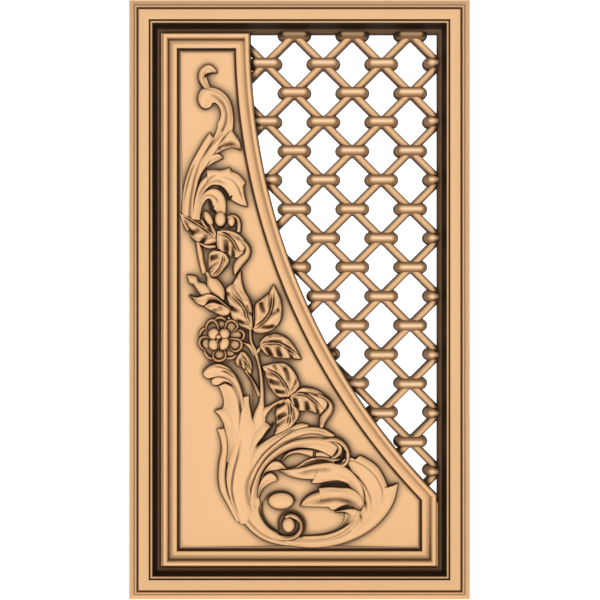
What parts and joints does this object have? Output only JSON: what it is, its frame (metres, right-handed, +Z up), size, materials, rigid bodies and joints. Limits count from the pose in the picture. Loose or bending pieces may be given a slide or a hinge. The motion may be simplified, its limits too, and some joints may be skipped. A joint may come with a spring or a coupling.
{
  "type": "carved fretwork grille",
  "caption": "Carved wooden grille: a moulded frame round a panel with acanthus, leaves and a rose in relief, and a diagonal lattice of bars and knots in its bowed opening.",
  "frame": {"origin": "on the flat back of the frame, in the middle of the bottom rail", "axes": "+Z up along the long side, +X to the right seen from the front, the carved face towards -Y and the flat back towards +Y"},
  "size_m": [0.48, 0.028, 0.8435],
  "materials": {
    "frame_wood": "waxed, with dark glaze in the grooves",
    "panel_wood": "waxed, with dark glaze round the carving",
    "lattice_wood": "waxed, with dark glaze where the knots meet the bars"
  },
  "bodies": {
    "root": {"frame": "frame_wood", "carved_panel": "panel_wood", "lattice": "lattice_wood"}
  },
  "joints": []
}
